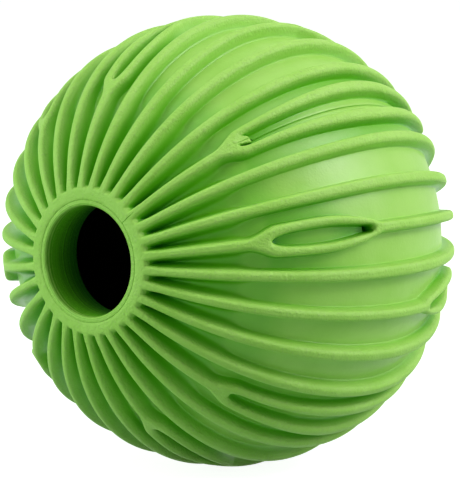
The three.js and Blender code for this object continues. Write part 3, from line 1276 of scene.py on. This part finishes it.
class NodeGroups:
    """Shader node groups that more than one finish uses."""

    FLOAT = "NodeSocketFloat"
    VECTOR = "NodeSocketVector"
    COLOUR = "NodeSocketColor"

    # Radius that turns a polar angle into a way along the ribs.
    RIB_ARC_RADIUS = 40 * MM

    # Detail of the noise, mixing of the two grains, and the noise values that speckles and patches span.
    FINE_DETAIL = 3.0
    COARSE_DETAIL = 2.0
    COARSE_GRAIN_SCALE = 0.3
    COARSE_GRAIN_SHARE = 0.8
    GRAIN_HEIGHT = 0.55
    SPECKLE_RANGE = (0.56, 0.72)
    PATCH_RANGE = (0.35, 0.7)

    def __init__(self) -> None:
        """Builds each group once."""
        self.coordinates = self.make_coordinates()
        self.grain = self.make_grain()
        self.turning = self.make_turning()
        self.mottle = self.make_mottle()
        # The group that paints shade into the grooves.
        self.depths = self.make_groove_shade()

    @staticmethod
    def start(name: str, inputs: dict[str, str], outputs: dict[str, str]) -> tuple:
        """Starts a node group with named sockets.

        Args:
            name: The group's name.
            inputs: Socket type by input name.
            outputs: Socket type by output name.

        Returns:
            The group, the sockets that bring its inputs, and the sockets that take its outputs.
        """
        group = bpy.data.node_groups.new(name, "ShaderNodeTree")
        for direction, sockets in (("INPUT", inputs), ("OUTPUT", outputs)):
            for label, kind in sockets.items():
                group.interface.new_socket(label, in_out=direction, socket_type=kind)
        given = group.nodes.new("NodeGroupInput").outputs
        result = group.nodes.new("NodeGroupOutput").inputs
        return group, given, result

    @staticmethod
    def feed(tree: bpy.types.NodeTree, socket: bpy.types.NodeSocket, value: object) -> None:
        """Links another socket to an input, or sets the input to a plain value.

        Args:
            tree: The node tree.
            socket: The input.
            value: A socket, a number, or a colour as three numbers.
        """
        if isinstance(value, bpy.types.NodeSocket):
            tree.links.new(value, socket)
        elif isinstance(value, tuple):
            socket.default_value = (*value, 1)
        else:
            socket.default_value = value

    @classmethod
    def place(cls, tree: bpy.types.NodeTree, group: bpy.types.NodeTree, values: dict[str, object]) -> object:
        """Places a node group in a material.

        Args:
            tree: The material's node tree.
            group: The node group.
            values: What each named input gets, a socket or a plain value.

        Returns:
            The placed group's outputs, by name.
        """
        node = tree.nodes.new("ShaderNodeGroup")
        node.node_tree = group
        for label, value in values.items():
            cls.feed(tree, node.inputs[label], value)
        return node.outputs

    @classmethod
    def math_node(cls, tree: bpy.types.NodeTree, operation: str, *values: object) -> bpy.types.NodeSocket:
        """Adds a Math node whose inputs are sockets or plain numbers.

        Args:
            tree: The node tree.
            operation: The node's operation.
            *values: A socket or a number for each input.

        Returns:
            The node's output.
        """
        node = tree.nodes.new("ShaderNodeMath")
        node.operation = operation
        for socket, value in zip(node.inputs, values):
            cls.feed(tree, socket, value)
        return node.outputs[0]

    @classmethod
    def ramp(cls, tree: bpy.types.NodeTree, value: object, low: object, high: object) -> bpy.types.NodeSocket:
        """Adds a Map Range node that rises smoothly from 0 at low to 1 at high.

        Args:
            tree: The node tree.
            value: What is looked at, a socket or a number, as the next two are.
            low: Value at which the result leaves 0.
            high: Value at which the result reaches 1.

        Returns:
            The node's output.
        """
        node = tree.nodes.new("ShaderNodeMapRange")
        node.interpolation_type = "SMOOTHSTEP"
        for label, given in (("Value", value), ("From Min", low), ("From Max", high)):
            cls.feed(tree, node.inputs[label], given)
        return node.outputs["Result"]

    @classmethod
    def noise(
        cls, tree: bpy.types.NodeTree, vector: bpy.types.NodeSocket, scale: object, detail: float
    ) -> bpy.types.NodeSocket:
        """Adds a Noise Texture node.

        Args:
            tree: The node tree.
            vector: Socket of the place.
            scale: Grains for each metre, as a socket or a number.
            detail: How many finer layers of noise are laid over it.

        Returns:
            The node's factor.
        """
        node = tree.nodes.new("ShaderNodeTexNoise")
        for label, given in (("Vector", vector), ("Scale", scale), ("Detail", detail)):
            cls.feed(tree, node.inputs[label], given)
        return node.outputs["Fac"]

    @classmethod
    def blend(
        cls,
        tree: bpy.types.NodeTree,
        share: bpy.types.NodeSocket,
        low: bpy.types.NodeSocket,
        high: bpy.types.NodeSocket,
    ) -> bpy.types.NodeSocket:
        """Adds a Mix node for colours.

        Args:
            tree: The node tree.
            share: Socket of the high colour's share.
            low: Socket of the colour where the share is 0.
            high: Socket of the colour where the share is 1.

        Returns:
            The mixed colour.
        """
        node = tree.nodes.new("ShaderNodeMix")
        node.data_type = "RGBA"
        for label, given in (("Factor", share), ("A", low), ("B", high)):
            tree.links.new(given, node.inputs[label])
        return node.outputs["Result"]

    def make_coordinates(self) -> bpy.types.NodeTree:
        """Makes the group that gives the distance from the ball's centre and the way along a rib.

        Returns:
            The node group.
        """
        outputs = {"Radius": self.FLOAT, "Along Rib": self.FLOAT}
        group, given, result = self.start("ball_coordinates", {"Position": self.VECTOR}, outputs)
        length = group.nodes.new("ShaderNodeVectorMath")
        length.operation = "LENGTH"
        group.links.new(given["Position"], length.inputs[0])
        parts = group.nodes.new("ShaderNodeSeparateXYZ")
        group.links.new(given["Position"], parts.inputs[0])
        radius = length.outputs["Value"]
        towards_mouth = self.math_node(group, "MULTIPLY", parts.outputs["Y"], -1.0)
        cosine = self.math_node(group, "DIVIDE", towards_mouth, radius)
        polar = self.math_node(group, "ARCCOSINE", cosine)
        along = self.math_node(group, "MULTIPLY", polar, self.RIB_ARC_RADIUS)
        group.links.new(radius, result["Radius"])
        group.links.new(along, result["Along Rib"])
        return group

    def make_grain(self) -> bpy.types.NodeTree:
        """Makes the group that gives the fine grain of moulded rubber, as a height and as speckles.

        Returns:
            The node group.
        """
        inputs = {"Position": self.VECTOR, "Grains per Metre": self.FLOAT}
        outputs = {"Height": self.FLOAT, "Speckle": self.FLOAT}
        group, given, result = self.start("rubber_grain", inputs, outputs)
        position, grains = given["Position"], given["Grains per Metre"]
        fine = self.noise(group, position, grains, self.FINE_DETAIL)
        coarser = self.math_node(group, "MULTIPLY", grains, self.COARSE_GRAIN_SCALE)
        coarse = self.noise(group, position, coarser, self.COARSE_DETAIL)
        both = self.math_node(group, "MULTIPLY_ADD", coarse, self.COARSE_GRAIN_SHARE, fine)
        group.links.new(self.math_node(group, "MULTIPLY", both, self.GRAIN_HEIGHT), result["Height"])
        group.links.new(self.ramp(group, fine, *self.SPECKLE_RANGE), result["Speckle"])
        return group

    def make_turning(self) -> bpy.types.NodeTree:
        """Makes the group that gives fine rings left by the turned mould, as a height.

        Returns:
            The node group.
        """
        inputs = {"Way": self.FLOAT, "Lines per Metre": self.FLOAT}
        group, given, result = self.start("turning_lines", inputs, {"Height": self.FLOAT})
        way = self.math_node(group, "MULTIPLY", given["Way"], given["Lines per Metre"])
        node = group.nodes.new("ShaderNodeTexNoise")
        node.noise_dimensions = "1D"
        for label, value in (("W", way), ("Scale", 1.0), ("Detail", self.COARSE_DETAIL)):
            self.feed(group, node.inputs[label], value)
        group.links.new(node.outputs["Fac"], result["Height"])
        return group

    def make_mottle(self) -> bpy.types.NodeTree:
        """Makes the group that varies a rubber's colour in soft patches and speckles.

        Returns:
            The node group.
        """
        inputs = {
            "Position": self.VECTOR,
            "Colour": self.COLOUR,
            "Patch Colour": self.COLOUR,
            "Speckle Colour": self.COLOUR,
            "Speckle": self.FLOAT,
            "Patches per Metre": self.FLOAT,
        }
        group, given, result = self.start("rubber_mottle", inputs, {"Colour": self.COLOUR})
        patches = self.noise(group, given["Position"], given["Patches per Metre"], self.FINE_DETAIL)
        share = self.ramp(group, patches, *self.PATCH_RANGE)
        patched = self.blend(group, share, given["Colour"], given["Patch Colour"])
        speckled = self.blend(group, given["Speckle"], patched, given["Speckle Colour"])
        group.links.new(speckled, result["Colour"])
        return group

    def make_groove_shade(self) -> bpy.types.NodeTree:
        """Makes the group that paints shade into a rubber's colour, fuller and darker green where it lies
        less open.

        Returns:
            The node group.
        """
        inputs = {
            "Openness": self.FLOAT,
            "Colour": self.COLOUR,
            "Shaded Colour": self.COLOUR,
            "Darkest Shade Colour": self.COLOUR,
            "Open At": self.FLOAT,
            "Shaded At": self.FLOAT,
            "Darkest Shade At": self.FLOAT,
        }
        group, given, result = self.start("painted_groove_shade", inputs, {"Colour": self.COLOUR})
        shaded = self.ramp(group, given["Openness"], given["Darkest Shade At"], given["Shaded At"])
        low = self.blend(group, shaded, given["Darkest Shade Colour"], given["Shaded Colour"])
        lit = self.ramp(group, given["Openness"], given["Shaded At"], given["Open At"])
        group.links.new(self.blend(group, lit, low, given["Colour"]), result["Colour"])
        return group


@dataclass(frozen=True)
class RubberFinish:
    """Matte moulded rubber, grainy on the crests and smoother in the grooves.

    Shade is painted into its colour by how open the rubber lies: an openness of open_at or more shows the
    full colour, shaded_at the painted shade and the last threshold the darkest painted shade.
    """

    NOISE_MIDDLE = 0.5

    name: str

    # Colours, of which the shaded and the darkest are painted shade, and how open the rubber lies where each
    # shows in full.
    colour: tuple = (0.34, 0.65, 0.104)
    patch_colour: tuple = (0.305, 0.62, 0.08)
    patches_per_metre: float = 160.0
    shaded_colour: tuple = (0.115, 0.455, 0.006)
    darkest_shade_colour: tuple = (0.0, 0.20, 0.0)
    open_at: float = 0.30
    shaded_at: float = 0.14
    darkest_shade_at: float = 0.02
    streak_depth: float = 0.0

    # Speckles, grain and turning lines.
    speckle_colour: tuple = (0.30, 0.50, 0.13)
    speckle_strength: float = 0.5
    grains_per_metre: float = 2400.0
    grain_depth: float = 0.3 * MM
    groove_grain_share: float = 0.2
    lines_per_metre: float = 2400.0
    line_depth: float = 0.012 * MM

    # Sheen, which changes between the floors of the grooves and the crests.
    crest_roughness: float = 0.51
    groove_roughness: float = 0.31
    grain_roughness: float = 0.15
    specular: float = 0.38
    crest_radius: float = 39.6 * MM
    floor_radius: float = 38.2 * MM

    def make(self, groups: NodeGroups) -> bpy.types.Material:
        """Makes the material.

        Args:
            groups: The shared shader node groups.

        Returns:
            The material.
        """
        material = bpy.data.materials.new(self.name)
        material.use_nodes = True
        tree = material.node_tree
        shader = tree.nodes["Principled BSDF"]
        shader.inputs["Specular IOR Level"].default_value = self.specular
        position = tree.nodes.new("ShaderNodeTexCoord").outputs["Object"]

        where = groups.place(tree, groups.coordinates, {"Position": position})
        crest = groups.ramp(tree, where["Radius"], self.floor_radius, self.crest_radius)
        grain_values = {"Position": position, "Grains per Metre": self.grains_per_metre}
        grain = groups.place(tree, groups.grain, grain_values)
        line_values = {"Way": where["Along Rib"], "Lines per Metre": self.lines_per_metre}
        lines = groups.place(tree, groups.turning, line_values)["Height"]

        speckle = groups.math_node(tree, "MULTIPLY", grain["Speckle"], crest)
        colour = self.colour_socket(groups, tree, position, speckle, lines)
        tree.links.new(colour, shader.inputs["Base Color"])
        rise = self.crest_roughness - self.groove_roughness
        smooth = groups.math_node(tree, "MULTIPLY_ADD", crest, rise, self.groove_roughness)
        rough = groups.math_node(tree, "MULTIPLY_ADD", grain["Height"], self.grain_roughness, smooth)
        tree.links.new(rough, shader.inputs["Roughness"])

        least = self.groove_grain_share
        shown = groups.math_node(tree, "MULTIPLY_ADD", crest, 1 - least, least)
        fine = self.bump(tree, groups.math_node(tree, "MULTIPLY", grain["Height"], shown), self.grain_depth)
        turned = self.bump(tree, groups.math_node(tree, "MULTIPLY", lines, shown), self.line_depth)
        tree.links.new(fine.outputs["Normal"], turned.inputs["Normal"])
        tree.links.new(turned.outputs["Normal"], shader.inputs["Normal"])
        return material

    def colour_socket(
        self,
        groups: NodeGroups,
        tree: bpy.types.NodeTree,
        position: bpy.types.NodeSocket,
        speckle: bpy.types.NodeSocket,
        lines: bpy.types.NodeSocket,
    ) -> bpy.types.NodeSocket:
        """Gives the rubber's colour, mottled, with shade painted into the grooves.

        Args:
            groups: The shared shader node groups.
            tree: The material's node tree.
            position: Place on the ball.
            speckle: Share of the speckles on the crests.
            lines: Height of the turning lines, which streak the painted shade.

        Returns:
            The colour.
        """
        mottle = {
            "Position": position,
            "Colour": self.colour,
            "Patch Colour": self.patch_colour,
            "Speckle Colour": self.speckle_colour,
            "Speckle": groups.math_node(tree, "MULTIPLY", speckle, self.speckle_strength),
            "Patches per Metre": self.patches_per_metre,
        }
        # How open each point lies sets how much shade is painted into its colour.
        openness = tree.nodes.new("ShaderNodeAttribute")
        openness.attribute_name = OPENNESS
        streak = groups.math_node(tree, "SUBTRACT", lines, self.NOISE_MIDDLE)
        seen = groups.math_node(tree, "MULTIPLY_ADD", streak, self.streak_depth, openness.outputs["Fac"])
        depths = {
            "Openness": seen,
            "Colour": groups.place(tree, groups.mottle, mottle)["Colour"],
            "Shaded Colour": self.shaded_colour,
            "Darkest Shade Colour": self.darkest_shade_colour,
            "Open At": self.open_at,
            "Shaded At": self.shaded_at,
            "Darkest Shade At": self.darkest_shade_at,
        }
        return groups.place(tree, groups.depths, depths)["Colour"]

    @staticmethod
    def bump(tree: bpy.types.NodeTree, height: bpy.types.NodeSocket, depth: float) -> bpy.types.Node:
        """Adds a Bump node.

        Args:
            tree: The node tree.
            height: Height from 0 to 1.
            depth: Depth that a height of 1 stands for, in metres.

        Returns:
            The node.
        """
        node = tree.nodes.new("ShaderNodeBump")
        node.inputs["Distance"].default_value = depth
        tree.links.new(height, node.inputs["Height"])
        return node


SHELL_RUBBER = RubberFinish("shell_rubber")
# The sleeve's bore is painted darker inwards as shade, and the turning lines streak that painted shade.
SLEEVE_RUBBER = RubberFinish(
    "sleeve_rubber",
    darkest_shade_colour=(0.004, 0.09, 0.0),
    darkest_shade_at=0.35,
    shaded_at=0.85,
    open_at=1.0,
    streak_depth=0.45,
    crest_radius=30 * MM,
    floor_radius=20 * MM,
    lines_per_metre=9000.0,
    line_depth=0.03 * MM,
)
# The hollow inside is painted near black, as the shade that fills it.
HOLLOW_PAINTED_SHADE = RubberFinish(
    "hollow_painted_shade",
    shaded_colour=(0.01, 0.02, 0.004),
    darkest_shade_colour=(0.008, 0.016, 0.003),
)


@dataclass(frozen=True)
class Lamp:
    """A square soft lamp that faces the ball."""

    # How far the lamp is from the ball, in metres.
    DISTANCE = 1.2

    name: str
    right: float
    up: float
    near: float
    level: float
    tint: tuple
    size: float = 0.9

    def build(self, towards_camera: Vector) -> None:
        """Builds the lamp, whose level is the light that it gives on a face turned to it.

        Args:
            towards_camera: Direction from the ball to the camera, which right, up and near start from.
        """
        sideways = Vector((0, 0, 1)).cross(towards_camera).normalized()
        upwards = towards_camera.cross(sideways)
        direction = (sideways * self.right + upwards * self.up + towards_camera * self.near).normalized()
        data = bpy.data.lights.new(self.name, "AREA")
        data.shape = "SQUARE"
        data.size = self.size
        data.color = self.tint
        # A level of 1 shows a white face that is turned to the lamp as white.
        data.energy = self.level * math.pi * self.DISTANCE**2 * math.pi
        lamp = bpy.data.objects.new(self.name, data)
        lamp.location = direction * self.DISTANCE
        lamp.rotation_euler = direction.to_track_quat("Z", "Y").to_euler()
        bpy.context.scene.collection.objects.link(lamp)


@dataclass
class Studio:
    """A pale floor, soft light and the camera at the photograph's angle."""

    sizes: BallSizes
    image_size: tuple = (460, 478)
    ball_centre_pixels: tuple = (228.4, 240.3)
    ball_radius_pixels: float = 226.3
    azimuth: float = 38.6 * DEGREE
    elevation: float = 6.9 * DEGREE
    distance_in_radii: float = 15.0
    sensor: float = 36.0
    clip_range: tuple = (0.1, 100.0)
    floor_size: float = 14.0
    floor_drop: float = 0.05 * MM
    floor_colour: tuple = (0.32, 0.43, 0.32)
    floor_glow: float = 0.93
    world_light: float = 0.12
    lamps: tuple = (
        Lamp("right_lamp", 1.0, 0.6, 0.3, level=0.56, tint=(1.08, 1.02, 1.14)),
        Lamp("sheen_lamp", 0.78, 0.54, 0.3, level=0.18, tint=(1.08, 1.0, 1.2), size=0.25),
        Lamp("upper_right_lamp", 0.6, 1.0, 0.3, level=0.27, tint=(1.14, 1.02, 1.22)),
        Lamp("upper_left_lamp", -0.6, 1.0, 0.4, level=0.34, tint=(0.96, 1.0, 0.96)),
        Lamp("left_lamp", -1.0, 0.25, 0.22, level=0.58, tint=(0.97, 1.07, 0.98)),
    )

    def towards_camera(self) -> Vector:
        """Gives the direction from the ball to the camera."""
        flat = math.cos(self.elevation)
        sideways, back = math.sin(self.azimuth), math.cos(self.azimuth)
        return Vector((sideways * flat, -back * flat, math.sin(self.elevation)))

    def add_camera(self) -> None:
        """Adds the camera, with a lens that fits the ball to the picture."""
        data = bpy.data.cameras.new("photo_camera")
        camera = bpy.data.objects.new("photo_camera", data)
        bpy.context.scene.collection.objects.link(camera)
        width, height = self.image_size
        longest = max(width, height)
        focal_pixels = self.ball_radius_pixels * math.sqrt(self.distance_in_radii**2 - 1)
        data.sensor_width = self.sensor
        data.lens = focal_pixels * self.sensor / longest
        data.shift_x = (width / 2 - self.ball_centre_pixels[0]) / longest
        data.shift_y = (self.ball_centre_pixels[1] - height / 2) / longest
        data.clip_start, data.clip_end = self.clip_range
        direction = self.towards_camera()
        camera.location = direction * self.distance_in_radii * self.sizes.tip_radius
        camera.rotation_euler = direction.to_track_quat("Z", "Y").to_euler()
        bpy.context.scene.camera = camera

    def add_floor(self) -> None:
        """Adds the floor, white to the camera and darker where the ball shades it."""
        half = self.floor_size / 2
        level = CAD_BOX[0].z - self.floor_drop
        mesh = bpy.data.meshes.new("studio_floor")
        corners = [(-half, -half, level), (half, -half, level), (half, half, level), (-half, half, level)]
        mesh.from_pydata(corners, [], [(0, 1, 2, 3)])
        floor = bpy.data.objects.new("studio_floor", mesh)
        bpy.context.scene.collection.objects.link(floor)
        mesh.materials.append(self.floor_material())

    @staticmethod
    def seen_directly(tree: bpy.types.NodeTree) -> bpy.types.NodeSocket:
        """Gives 1 for camera, glossy and transmission rays, and 0 for the light that the ball gets.

        Args:
            tree: The node tree of a material or the world.

        Returns:
            The socket of that share.
        """
        path = tree.nodes.new("ShaderNodeLightPath").outputs
        either = NodeGroups.math_node(tree, "MAXIMUM", path["Is Camera Ray"], path["Is Glossy Ray"])
        return NodeGroups.math_node(tree, "MAXIMUM", either, path["Is Transmission Ray"])

    def floor_material(self) -> bpy.types.Material:
        """Makes the floor's material.

        Returns:
            A dull material that glows white where it is seen directly.
        """
        material = bpy.data.materials.new("studio_floor")
        material.use_nodes = True
        tree = material.node_tree
        tree.nodes.clear()
        output = tree.nodes.new("ShaderNodeOutputMaterial")
        lit = tree.nodes.new("ShaderNodeBsdfDiffuse")
        lit.inputs["Color"].default_value = (*self.floor_colour, 1)
        glow = tree.nodes.new("ShaderNodeEmission")
        glow.inputs["Color"].default_value = (1, 1, 1, 1)
        strength = NodeGroups.math_node(tree, "MULTIPLY", self.seen_directly(tree), self.floor_glow)
        tree.links.new(strength, glow.inputs["Strength"])
        both = tree.nodes.new("ShaderNodeAddShader")
        tree.links.new(lit.outputs[0], both.inputs[0])
        tree.links.new(glow.outputs[0], both.inputs[1])
        tree.links.new(both.outputs[0], output.inputs["Surface"])
        return material

    def add_world(self) -> None:
        """Adds a world that shows pure white and lights the ball at a lower level."""
        world = bpy.data.worlds.new("studio_world")
        bpy.context.scene.world = world
        world.use_nodes = True
        tree = world.node_tree
        background = tree.nodes["Background"]
        background.inputs["Color"].default_value = (1, 1, 1, 1)
        shown = self.seen_directly(tree)
        level = NodeGroups.math_node(tree, "MULTIPLY_ADD", shown, 1 - self.world_light, self.world_light)
        tree.links.new(level, background.inputs["Strength"])

    def build(self) -> None:
        """Builds the studio."""
        self.add_camera()
        self.add_floor()
        self.add_world()
        for lamp in self.lamps:
            lamp.build(self.towards_camera())
        bpy.context.scene.view_settings.view_transform = "Standard"


def main() -> None:
    """Builds the studio and the ball."""
    logging.basicConfig(level=logging.INFO, format="%(name)s %(message)s")
    sizes = BallSizes.from_frame()
    Studio(sizes).build()
    groups = NodeGroups()
    shell_rubber = SHELL_RUBBER.make(groups)
    sleeve_rubber = SLEEVE_RUBBER.make(groups)
    hollow_painted_shade = HOLLOW_PAINTED_SHADE.make(groups)
    pattern = RibPattern(sizes.tip_radius)
    relief = BallRelief(pattern)
    for side in Side:
        shell = HalfShell(side, sizes, pattern, relief)
        shell.dress(shell.build(), [shell_rubber, hollow_painted_shade])
    sleeve = MouthSleeve(sizes)
    sleeve.dress(sleeve.build(), [sleeve_rubber])


if __name__ == "__main__":
    main()
